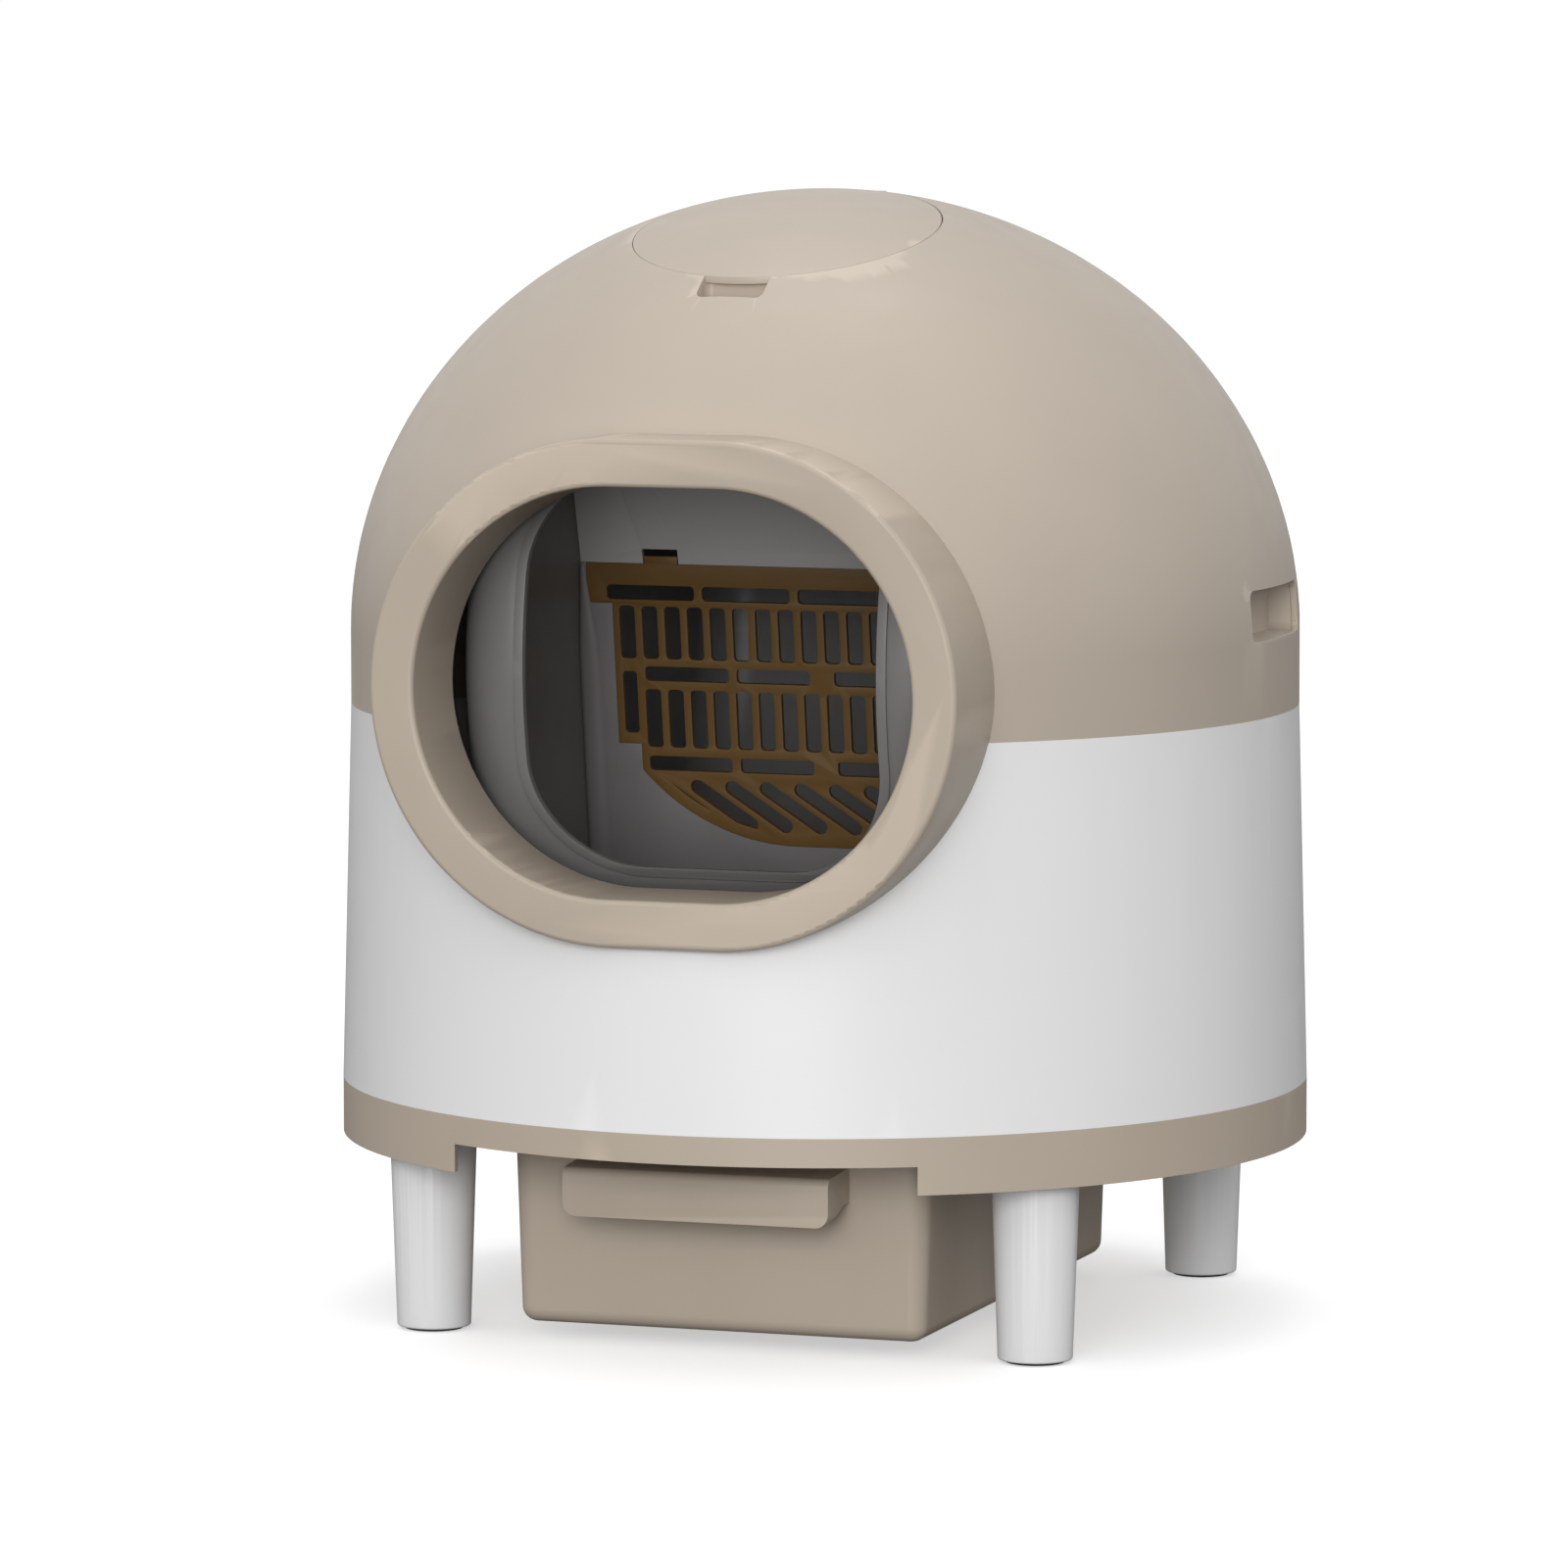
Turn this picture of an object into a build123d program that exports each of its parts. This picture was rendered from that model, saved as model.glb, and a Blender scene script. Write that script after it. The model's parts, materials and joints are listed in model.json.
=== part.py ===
"""Self-cleaning cat litter box with a domed hood, a turning sieve drum and a waste drawer.

Millimetres. Origin on the floor under the middle of the round body, +Z up, entrance towards -Y.
"""
from build123d import *
from math import asin, cos, degrees, pi, radians, sin, sqrt, tan
import os

# ---------------------------------------------------------------- driving dimensions
# Round body
base_radius = 250
total_height = 578
ring_bottom_z = 91.6
ring_height = 28.7
ring_wall = 4
floor_height = 16.4          # from the ring's lower edge to the underside of the chassis floor
floor_wall = 4
seam_z = 314                 # parting line between the body shell and the hood
hood_radius = base_radius - 5
hood_straight = 37.5         # upright stretch of the hood below the dome
shell_wall = 3
shell_rib_width = 6
shell_boss_height = 20       # above the ring's top
skirt_depth = 12             # locating skirt of the hood inside the body shell
# Entrance
entrance_z = 338.1
entrance_width = 259.6
entrance_height = 203.4
collar_width = 305.4
collar_height = 251.4
collar_front = base_radius + 4  # distance from the axis to the collar's front face
collar_rim_radius = 2.6
tube_wall = 3
# Legs
leg_x = 0.6432 * base_radius
leg_y = 0.5904 * base_radius
leg_foot_radius = 18.8
leg_draft = 2                # degrees
leg_wall = 3
leg_post_radius = 6
leg_foot_round = 1.2
leg_pilot_depth = 18
pad_radius = 15
pad_height = 3
pad_recess = 1.5
pad_round = 0.6
# Waste drawer
drawer_width = 222
drawer_length = 320
drawer_center_y = -10
drawer_bottom_z = 8.5
drawer_draft = 2             # degrees
drawer_wall = 3
drawer_corner = 12
drawer_foot_fillet = 8
flange_width = 6.5
flange_height = 3
flange_drop = 3              # from the chassis floor to the drawer's flange
notch_wider = 11             # each side, front notch of the ring beyond the drawer
notch_height = 14.2
notch_length = 85
rail_web = 3
handle_width = 140.4
handle_reach = 33
handle_top_drop = 8
handle_slope = 2             # fall of the handle's top towards its front
handle_knee = 5              # where the top turns down into the lip
handle_lip = 24.5
handle_root = 18             # height of the handle where it meets the drawer
handle_wall = 3
handle_corner = 7
# Drum
drum_axis_z = 345
drum_radius = 196
drum_half_width = 133
drum_corner = 30
drum_wall = 3
mouth_width = 196
mouth_height = 214
mouth_corner = 60
lip_width = 5
lip_proud = 1
# Sieve panel inside the drum
panel_y = -7.6
panel_lean = 8               # degrees, top edge towards the entrance
panel_wall = 3
sieve_top = 38.4             # sizes on the panel count from the drum's axis height
sieve_bottom = -110
sieve_half_top = 127
sieve_half_middle = 113.5
sieve_half_low = 101
sieve_step_high = 17.2
sieve_step_low = -57.6
sieve_arc_radius = 110
sieve_flat = 17.4            # half of the straight lower edge
slot_width = 8.6
slot_pitch = 12.45
slot_corner = 2.2
deflector_lean = 16          # degrees
# Drum bearings and drive
trunnion_radius = 12
trunnion_flange_radius = 50
trunnion_flange = 6
tower_gap = 17               # from the drum's end wall to the tower
tower_wall = 8
tower_half_width = 62
bush_wall = 3
gear_module = 3
drum_teeth = 60
pinion_teeth = 15
gear_face = 10
gear_rim = 17                # from the teeth's root to the ring gear's bore
pinion_angle = -45           # degrees from +Y, seen along -X
motor_radius = 18
gearbox_radius = 26
gearbox_length = 20
motor_length = 40
motor_round = 2
# Hatch
hatch_radius = 79
hatch_y = -60
hatch_relief = 1             # extra gap behind the hatch, which its edge swings through
ledge_width = 6
pocket_width = 35
pocket_length = 13
pocket_depth = 8
pocket_corner = 4
hinge_radius = 4
hinge_set_back = 4           # from the hatch's edge to the knuckle
hinge_half_width = 15
knuckle_arm = 14             # reaches from the hinge forwards under the hatch
hinge_pin_radius = 1.5
hinge_boss = 8
# Side grips
grip_width = 84
grip_height = 25.9
grip_z = 366.5
grip_depth = 19
grip_corner = 5
# Waste port
port_width = drawer_width - 18
port_corner = 10
chute_height = 26
chute_wall = 3
# Rear controls
control_width = 100
control_depth = 34
control_height = 46
control_inset = 18           # from the ring's outside to the control housing
control_corner = 4
socket_depth = 8
inlet_radius = 6.5
button_radius = 6
button_x = 34
button_travel = 1.5
button_proud = 1
# Fasteners
screw_radius = 1.8
screw_head_radius = 3.6
screw_head = 2.4
shell_screw_count = 6
shell_screw_length = 14
leg_screw_length = 16
tower_screw_length = 7
# Clearances
fixed_gap = 0.2              # between pieces that are fixed together
moving_gap = 0.4             # between pieces that move past each other
lift_gap = 1.5               # between the hood's tube and what it is lifted past
running_gap = 0.05           # radial, shaft in bush

# ---------------------------------------------------------------- derived places
ring_top_z = ring_bottom_z + ring_height
floor_bottom_z = ring_bottom_z + floor_height
floor_top_z = floor_bottom_z + floor_wall
spring_z = seam_z + hood_straight
dome_rise = total_height - spring_z
above_dome = dome_rise + 10  # clears the dome's top
tube_end = drum_radius + lip_proud + lift_gap
tower_x = drum_half_width + tower_gap
pitch_radius = gear_module * drum_teeth / 2
pinion_pitch_radius = gear_module * pinion_teeth / 2
centre_distance = pitch_radius + pinion_pitch_radius
pinion_y = centre_distance * cos(radians(pinion_angle))
pinion_z = drum_axis_z + centre_distance * sin(radians(pinion_angle))
flange_top_z = floor_bottom_z - flange_drop - moving_gap
hinge_y = hatch_y + hatch_radius + hinge_radius + hinge_set_back
control_y = base_radius - control_inset - control_depth / 2
control_back_y = control_y + control_depth / 2
control_z = floor_top_z + control_height / 2
front_cut = 0.6 * base_radius  # the entrance is cut from here forwards
way_through = 60             # more than any wall or skin that is cut through

drum_axis = Axis((0, 0, drum_axis_z), (1, 0, 0))
drum_mid = Plane(origin=(0, 0, drum_axis_z), x_dir=(1, 0, 0), z_dir=(0, -1, 0))
entrance_mid = Plane(origin=(0, 0, entrance_z), x_dir=(1, 0, 0), z_dir=(0, -1, 0))
lean = radians(panel_lean)
panel = Plane(origin=(0, panel_y, drum_axis_z), x_dir=(1, 0, 0), z_dir=(0, -cos(lean), -sin(lean)))
# Turned profiles start on a radius that no opening, grip or hinge crosses.
turn = radians(50)
turned_profile = Plane(origin=(0, 0, 0), x_dir=(cos(turn), sin(turn), 0), z_dir=(sin(turn), -cos(turn), 0))

os.makedirs("parts", exist_ok=True)


def dome_height(y):
    """Height of the dome's outer face above the centre line at y."""
    return spring_z + dome_rise * sqrt(1 - (y / hood_radius) ** 2)


def dome_arc(reach, rise):
    """Quarter ellipse from the spring line up to the crown, drawn along its longer half axis."""
    if rise > reach:
        return EllipticalCenterArc((0, spring_z), rise, reach, start_angle=-90, arc_size=90, rotation=90)
    return EllipticalCenterArc((0, spring_z), reach, rise, start_angle=0, arc_size=90)


def hood_core(depth):
    """The solid that lies `depth` inside the hood's outer face."""
    reach = hood_radius - depth
    with BuildPart() as core:
        with BuildSketch(turned_profile):
            with BuildLine():
                Polyline((0, spring_z), (0, seam_z), (reach, seam_z), (reach, spring_z))
                dome_arc(reach, dome_rise - depth)
                Line((0, total_height - depth), (0, spring_z))
            make_face()
        revolve(axis=Axis.Z)
    return core.part


def dome_ball(depth):
    """The whole ellipsoid of the dome, its poles at the sides, so that the crown is a plain face."""
    with BuildPart() as ball:
        Sphere(hood_radius - depth, rotation=(0, 90, 0))
        scale(by=(1, 1, (dome_rise - depth) / (hood_radius - depth)))
    return ball.part.moved(Location((0, 0, spring_z)))


def body_core(depth):
    """The tapered solid that lies `depth` inside the body shell's outer face."""
    with BuildPart() as core:
        with BuildSketch(turned_profile):
            with BuildLine():
                Polyline(
                    (0, ring_top_z),
                    (base_radius - depth, ring_top_z),
                    (hood_radius - depth, seam_z),
                    (0, seam_z),
                    close=True,
                )
            make_face()
        revolve(axis=Axis.Z)
    return core.part


def drum_core(depth):
    """The barrel solid that lies `depth` inside the drum's outer face."""
    with BuildPart() as core:
        with BuildSketch(drum_mid) as half:
            Rectangle(2 * (drum_half_width - depth), drum_radius - depth, align=(Align.CENTER, Align.MIN))
            fillet(half.vertices().group_by(Axis.Y)[-1], drum_corner - depth)
        revolve(axis=drum_axis)
    return core.part


def screw(length):
    """A pan-head screw standing on its tip, its head's underside at `length`."""
    with BuildPart() as one:
        Cylinder(screw_radius, length, align=(Align.CENTER, Align.CENTER, Align.MIN))
        with Locations((0, 0, length)):
            Cylinder(screw_head_radius, screw_head, align=(Align.CENTER, Align.CENTER, Align.MIN))
        fillet(one.edges().group_by(Axis.Z)[-1], screw_head / 3)
    return one.part


# ---------------------------------------------------------------- base chassis
leg_spots = [(sx * leg_x, sy * leg_y) for sx in (-1, 1) for sy in (-1, 1)]
leg_names = ["leg_front_left", "leg_rear_left", "leg_front_right", "leg_rear_right"]
shell_boss_radius = 5
shell_boss_reach = base_radius - ring_wall - shell_boss_radius - 1
screw_angle = 30
tower_screw_x = tower_x + 20
tower_screw_y = 38
tower_screw_spots = [(sx * tower_screw_x, sy * tower_screw_y) for sx in (-1, 1) for sy in (-1, 1)]

with BuildPart() as base_chassis:
    with BuildSketch(Plane.XY.offset(ring_bottom_z)):
        Circle(base_radius)
        Circle(base_radius - ring_wall, mode=Mode.SUBTRACT)
    extrude(amount=ring_height)
    with BuildSketch(Plane.XY.offset(floor_bottom_z)):
        Circle(base_radius - ring_wall / 2)
        RectangleRounded(port_width, port_width, port_corner, mode=Mode.SUBTRACT)
        with Locations(*leg_spots):
            Circle(screw_radius + moving_gap, mode=Mode.SUBTRACT)
        with PolarLocations(shell_boss_reach, shell_screw_count, start_angle=screw_angle):
            Circle(screw_radius + moving_gap, mode=Mode.SUBTRACT)
        with Locations(*tower_screw_spots):
            Circle(screw_radius, mode=Mode.SUBTRACT)
    extrude(amount=floor_wall)
    with BuildSketch(Plane.XY.offset(ring_bottom_z - 1)):
        with Locations((0, -base_radius)):
            Rectangle(drawer_width + 2 * notch_wider, notch_length)
    extrude(amount=notch_height + 1, mode=Mode.SUBTRACT)
base_chassis.part.label = "base_chassis"
export_step(base_chassis.part, "parts/base_chassis.step")

# ---------------------------------------------------------------- legs with rubber pads
leg_top_z = floor_bottom_z - fixed_gap
for leg_name, leg_spot in zip(leg_names, leg_spots):
    with BuildPart() as leg:
        with BuildSketch(Plane.XY.offset(pad_recess)):
            with Locations(leg_spot):
                Circle(leg_foot_radius)
        extrude(amount=leg_top_z - pad_recess, taper=-leg_draft)
        fillet(leg.edges().group_by(Axis.Z)[0], leg_foot_round)
        with BuildSketch(Plane.XY.offset(pad_height + leg_wall)):
            with Locations(leg_spot):
                Circle(leg_foot_radius - leg_wall)
                Circle(leg_post_radius, mode=Mode.SUBTRACT)
        extrude(amount=leg_top_z, mode=Mode.SUBTRACT)
        with BuildSketch(Plane.XY):
            with Locations(leg_spot):
                Circle(pad_radius + fixed_gap)
        extrude(amount=pad_height, mode=Mode.SUBTRACT)
        with BuildSketch(Plane.XY.offset(leg_top_z)):
            with Locations(leg_spot):
                Circle(screw_radius)
        extrude(amount=-leg_pilot_depth, mode=Mode.SUBTRACT)
    leg.part.label = leg_name
    export_step(leg.part, f"parts/{leg_name}.step")

    with BuildPart() as foot_pad:
        with BuildSketch(Plane.XY):
            with Locations(leg_spot):
                Circle(pad_radius)
        extrude(amount=pad_height)
        fillet(foot_pad.edges().group_by(Axis.Z)[0], pad_round)
    pad_name = leg_name.replace("leg", "foot_pad")
    foot_pad.part.label = pad_name
    export_step(foot_pad.part, f"parts/{pad_name}.step")

with BuildPart() as leg_screws:
    with Locations(*[(x, y, floor_top_z - leg_screw_length) for x, y in leg_spots]):
        add(screw(leg_screw_length))
leg_screws.part.label = "leg_screws"
export_step(leg_screws.part, "parts/leg_screws.step")

# ---------------------------------------------------------------- body shell with its open front slot
shell_rib_length = base_radius - shell_boss_reach - shell_wall
boss_bottom_z = floor_top_z + fixed_gap
boss_top_z = ring_top_z + shell_boss_height
tube_width = entrance_width + 2 * tube_wall
tube_height = entrance_height + 2 * tube_wall

with BuildPart() as body_shell:
    add(body_core(0))
    add(body_core(shell_wall), mode=Mode.SUBTRACT)
    with BuildSketch(Plane.XY.offset(ring_top_z)):
        with PolarLocations(shell_boss_reach, shell_screw_count, start_angle=screw_angle):
            Rectangle(shell_rib_length, shell_rib_width, align=(Align.MIN, Align.CENTER))
    extrude(amount=boss_top_z - ring_top_z)
    with BuildSketch(Plane.XY.offset(boss_bottom_z)):
        with PolarLocations(shell_boss_reach, shell_screw_count, start_angle=screw_angle):
            Circle(shell_boss_radius)
    extrude(amount=boss_top_z - boss_bottom_z)
    with BuildSketch(Plane.XY.offset(boss_bottom_z)):
        with PolarLocations(shell_boss_reach, shell_screw_count, start_angle=screw_angle):
            Circle(screw_radius)
    extrude(amount=shell_screw_length + 2, mode=Mode.SUBTRACT)
    with BuildSketch(entrance_mid.offset(front_cut)):
        SlotOverall(tube_width + 2 * lift_gap, tube_height + 2 * lift_gap)
        Rectangle(tube_width + 2 * lift_gap, tube_height, align=(Align.CENTER, Align.MIN))
    extrude(amount=base_radius, mode=Mode.SUBTRACT)
    with BuildSketch(Plane.XZ.offset(-base_radius)):
        with Locations((0, control_z)):
            Circle(inlet_radius + moving_gap)
        with Locations((button_x, control_z)):
            Circle(button_radius + moving_gap)
    extrude(amount=control_inset, mode=Mode.SUBTRACT)
body_shell.part.label = "body_shell"
export_step(body_shell.part, "parts/body_shell.step")

with BuildPart() as shell_screws:
    with PolarLocations(shell_boss_reach, shell_screw_count, start_angle=screw_angle):
        with Locations(Location((0, 0, floor_bottom_z + shell_screw_length), (180, 0, 0))):
            add(screw(shell_screw_length))
shell_screws.part.label = "shell_screws"
export_step(shell_screws.part, "parts/shell_screws.step")

# ---------------------------------------------------------------- hood
hinge_z = dome_height(hinge_y) - hinge_radius - moving_gap
pocket_front = hatch_y - hatch_radius - pocket_length
pocket_floor_z = dome_height(pocket_front) - pocket_depth
pocket_reach = pocket_length + 5
slot_drop = entrance_z - seam_z + skirt_depth + 1  # the tube's way through opens at the hood's lower edge
hinge_line = Plane(origin=(0, hinge_y, hinge_z), x_dir=(0, 1, 0), z_dir=(1, 0, 0))

with BuildPart() as hood:
    add(hood_core(0))
    add(hood_core(shell_wall), mode=Mode.SUBTRACT)
    with BuildSketch(Plane.XY.offset(seam_z - skirt_depth)):
        Circle(hood_radius - shell_wall)
        Circle(hood_radius - 2 * shell_wall, mode=Mode.SUBTRACT)
    extrude(amount=2 * skirt_depth)
    with BuildSketch(Plane.XY.offset(seam_z - skirt_depth)):
        Circle(hood_radius)
        Circle(hood_radius - shell_wall - moving_gap, mode=Mode.SUBTRACT)
    extrude(amount=skirt_depth, mode=Mode.SUBTRACT)
    # opening for the hatch and the finger pocket in front of it
    with BuildSketch(Plane.XY.offset(pocket_floor_z)):
        with Locations((0, hatch_y)):
            Circle(hatch_radius)
        with Locations((0, pocket_front + pocket_reach / 2)):
            RectangleRounded(pocket_width, pocket_reach, pocket_corner)
    extrude(amount=above_dome, mode=Mode.SUBTRACT)
    # side grips
    for side in (-1, 1):
        with BuildSketch(Plane.YZ.offset(side * (hood_radius - grip_depth))):
            with Locations((0, grip_z)):
                RectangleRounded(grip_width, grip_height, grip_corner)
        extrude(amount=side * 2 * grip_depth, mode=Mode.SUBTRACT)
    # hinge: two bosses and the notch that the hatch's knuckle turns in
    with BuildSketch(hinge_line):
        Circle(hinge_radius)
    extrude(amount=hinge_half_width + moving_gap + hinge_boss, both=True)
    with BuildSketch(Plane.XY.offset(hinge_z - 2 * hinge_radius)):
        with Locations((0, hinge_y + hinge_radius + moving_gap)):
            Rectangle(2 * (hinge_half_width + moving_gap), 4 * hinge_radius, align=(Align.CENTER, Align.MAX))
    extrude(amount=4 * hinge_radius, mode=Mode.SUBTRACT)
    with BuildSketch(hinge_line):
        Circle(hinge_pin_radius + running_gap)
    extrude(amount=hinge_half_width + hinge_boss, both=True, mode=Mode.SUBTRACT)
    # way through for the entrance tube
    with BuildSketch(entrance_mid.offset(front_cut)):
        SlotOverall(tube_width + 2 * fixed_gap, tube_height + 2 * fixed_gap)
    extrude(amount=hood_radius, mode=Mode.SUBTRACT)
    with BuildSketch(entrance_mid.offset(front_cut)):
        Rectangle(tube_width + 2 * fixed_gap, slot_drop, align=(Align.CENTER, Align.MAX))
    extrude(amount=hood_radius, mode=Mode.SUBTRACT)
hood.part.label = "hood"
export_step(hood.part, "parts/hood.step")

# Frame under the hatch: the ledge it rests on and the cup of the finger pocket, open where the hinge is.
frame_gap = 2 * (hinge_half_width + hinge_boss + 2 * moving_gap)
with BuildPart() as hatch_frame:
    with BuildSketch(Plane.XY.offset(spring_z)):
        with Locations((0, hatch_y)):
            Circle(hatch_radius + ledge_width)
            Circle(hatch_radius - ledge_width, mode=Mode.SUBTRACT)
    extrude(amount=above_dome)
    add(hood_core(shell_wall + fixed_gap), mode=Mode.INTERSECT)
    add(hood_core(2 * shell_wall + fixed_gap), mode=Mode.SUBTRACT)
    with BuildPart(mode=Mode.PRIVATE) as pocket_cup:
        with BuildSketch(Plane.XY.offset(pocket_floor_z - shell_wall)):
            with Locations((0, pocket_front + pocket_reach / 2)):
                RectangleRounded(
                    pocket_width + 2 * shell_wall, pocket_reach + 2 * shell_wall, pocket_corner + shell_wall
                )
        extrude(amount=way_through)
        add(hood_core(shell_wall + fixed_gap), mode=Mode.INTERSECT)
    add(pocket_cup.part)
    with BuildSketch(Plane.XY.offset(pocket_floor_z)):
        with Locations((0, pocket_front + pocket_reach / 2)):
            RectangleRounded(pocket_width, pocket_reach, pocket_corner)
    extrude(amount=way_through, mode=Mode.SUBTRACT)
    with BuildSketch(Plane.XY.offset(hinge_z - way_through / 2)):
        with Locations((0, hinge_y - knuckle_arm - 1)):
            Rectangle(frame_gap, knuckle_arm + 2 * hinge_radius, align=(Align.CENTER, Align.MIN))
    extrude(amount=way_through, mode=Mode.SUBTRACT)
hatch_frame.part.label = "hatch_frame"
export_step(hatch_frame.part, "parts/hatch_frame.step")

cup_width = grip_width + 2 * shell_wall
cup_height = grip_height + 2 * shell_wall
for side, cup_name in ((-1, "grip_cup_left"), (1, "grip_cup_right")):
    with BuildPart() as grip_cup:
        with BuildSketch(Plane.YZ.offset(side * (hood_radius - grip_depth - shell_wall))):
            with Locations((0, grip_z)):
                RectangleRounded(cup_width, cup_height, grip_corner + shell_wall)
        extrude(amount=side * (grip_depth + 2 * shell_wall))
        add(hood_core(shell_wall + fixed_gap), mode=Mode.INTERSECT)
        with BuildSketch(Plane.YZ.offset(side * (hood_radius - grip_depth))):
            with Locations((0, grip_z)):
                RectangleRounded(grip_width, grip_height, grip_corner)
        extrude(amount=side * 2 * grip_depth, mode=Mode.SUBTRACT)
    grip_cup.part.label = cup_name
    export_step(grip_cup.part, f"parts/{cup_name}.step")

# ---------------------------------------------------------------- entrance collar
collar_root = 0.55 * base_radius
cavity_root = 0.5 * base_radius
with BuildPart() as entrance_collar:
    with BuildSketch(entrance_mid.offset(collar_root)):
        SlotOverall(collar_width, collar_height)
    extrude(amount=collar_front - collar_root)
    fillet(entrance_collar.edges().group_by(Axis.Y)[0], collar_rim_radius)
    with BuildSketch(entrance_mid.offset(cavity_root)):
        SlotOverall(collar_width - 2 * tube_wall, collar_height - 2 * tube_wall)
        SlotOverall(tube_width, tube_height, mode=Mode.SUBTRACT)
    extrude(amount=collar_front - tube_wall - cavity_root, mode=Mode.SUBTRACT)
    add(hood_core(-fixed_gap), mode=Mode.SUBTRACT)
    add(body_core(-lift_gap / 2), mode=Mode.SUBTRACT)
    with BuildSketch(entrance_mid.offset(tube_end)):
        SlotOverall(tube_width, tube_height)
    extrude(amount=collar_front - tube_wall - tube_end)
    with BuildSketch(entrance_mid.offset(cavity_root)):
        SlotOverall(entrance_width, entrance_height)
    extrude(amount=base_radius, mode=Mode.SUBTRACT)
    fillet(
        entrance_collar.edges().group_by(Axis.Y)[0].sort_by(SortBy.LENGTH)[:4],
        collar_rim_radius,
    )
entrance_collar.part.label = "entrance_collar"
export_step(entrance_collar.part, "parts/entrance_collar.step")

# ---------------------------------------------------------------- top hatch and its pin
with BuildPart() as top_hatch:
    with BuildSketch(Plane.XY.offset(spring_z)):
        with Locations((0, hatch_y)):
            Circle(hatch_radius - moving_gap)
        with Locations((0, hatch_y - hatch_relief)):
            Circle(hatch_radius - moving_gap, mode=Mode.INTERSECT)
    extrude(amount=above_dome)
    add(dome_ball(0), mode=Mode.INTERSECT)
    add(dome_ball(shell_wall), mode=Mode.SUBTRACT)
top_hatch.part.label = "top_hatch"
export_step(top_hatch.part, "parts/top_hatch.step")

knuckle_arm_top = dome_height(hinge_y) - shell_wall - moving_gap
with BuildPart() as hatch_hinge_knuckle:
    with BuildSketch(hinge_line):
        Circle(hinge_radius)
    extrude(amount=hinge_half_width, both=True)
    with BuildSketch(Plane.XY.offset(hinge_z - hinge_radius / 2)):
        with Locations((0, hinge_y)):
            Rectangle(2 * hinge_half_width, knuckle_arm, align=(Align.CENTER, Align.MAX))
    extrude(amount=knuckle_arm_top - hinge_z + hinge_radius / 2)
    with BuildSketch(hinge_line):
        Circle(hinge_pin_radius + running_gap)
    extrude(amount=hinge_half_width, both=True, mode=Mode.SUBTRACT)
hatch_hinge_knuckle.part.label = "hatch_hinge_knuckle"
export_step(hatch_hinge_knuckle.part, "parts/hatch_hinge_knuckle.step")

with BuildPart() as hatch_hinge_pin:
    with BuildSketch(hinge_line):
        Circle(hinge_pin_radius)
    extrude(amount=hinge_half_width + hinge_boss - 0.5, both=True)
hatch_hinge_pin.part.label = "hatch_hinge_pin"
export_step(hatch_hinge_pin.part, "parts/hatch_hinge_pin.step")

# ---------------------------------------------------------------- waste drawer, its handle and rails
drawer_height = flange_top_z - drawer_bottom_z
drawer_front_y = drawer_center_y - drawer_length / 2
with BuildPart() as waste_drawer:
    with BuildSketch(Plane.XY.offset(flange_top_z)):
        with Locations((0, drawer_center_y)):
            RectangleRounded(drawer_width, drawer_length, drawer_corner)
    extrude(amount=-drawer_height, taper=drawer_draft)
    fillet(waste_drawer.edges().group_by(Axis.Z)[0], drawer_foot_fillet)
    with BuildSketch(Plane.XY.offset(flange_top_z)):
        with Locations((0, drawer_center_y)):
            RectangleRounded(
                drawer_width - 2 * drawer_wall, drawer_length - 2 * drawer_wall, drawer_corner - drawer_wall
            )
    extrude(amount=-(drawer_height - drawer_wall), taper=drawer_draft, mode=Mode.SUBTRACT)
    for side in (-1, 1):
        with BuildSketch(Plane.XY.offset(flange_top_z)):
            with Locations((side * (drawer_width + flange_width - 1) / 2, drawer_center_y)):
                Rectangle(flange_width + 1, drawer_length - 2 * drawer_corner)
        extrude(amount=-flange_height)
waste_drawer.part.label = "waste_drawer"
export_step(waste_drawer.part, "parts/waste_drawer.step")

# The handle is a hooked lip: a sloping top, a front face and two cheeks, open underneath.
handle_top_z = flange_top_z - handle_top_drop
handle_back_y = drawer_front_y + tan(radians(drawer_draft)) * handle_top_drop - fixed_gap
handle_front_y = drawer_front_y - handle_reach
lip_bottom_z = handle_top_z - handle_slope - handle_lip
handle_root_z = handle_top_z - handle_root

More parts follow.
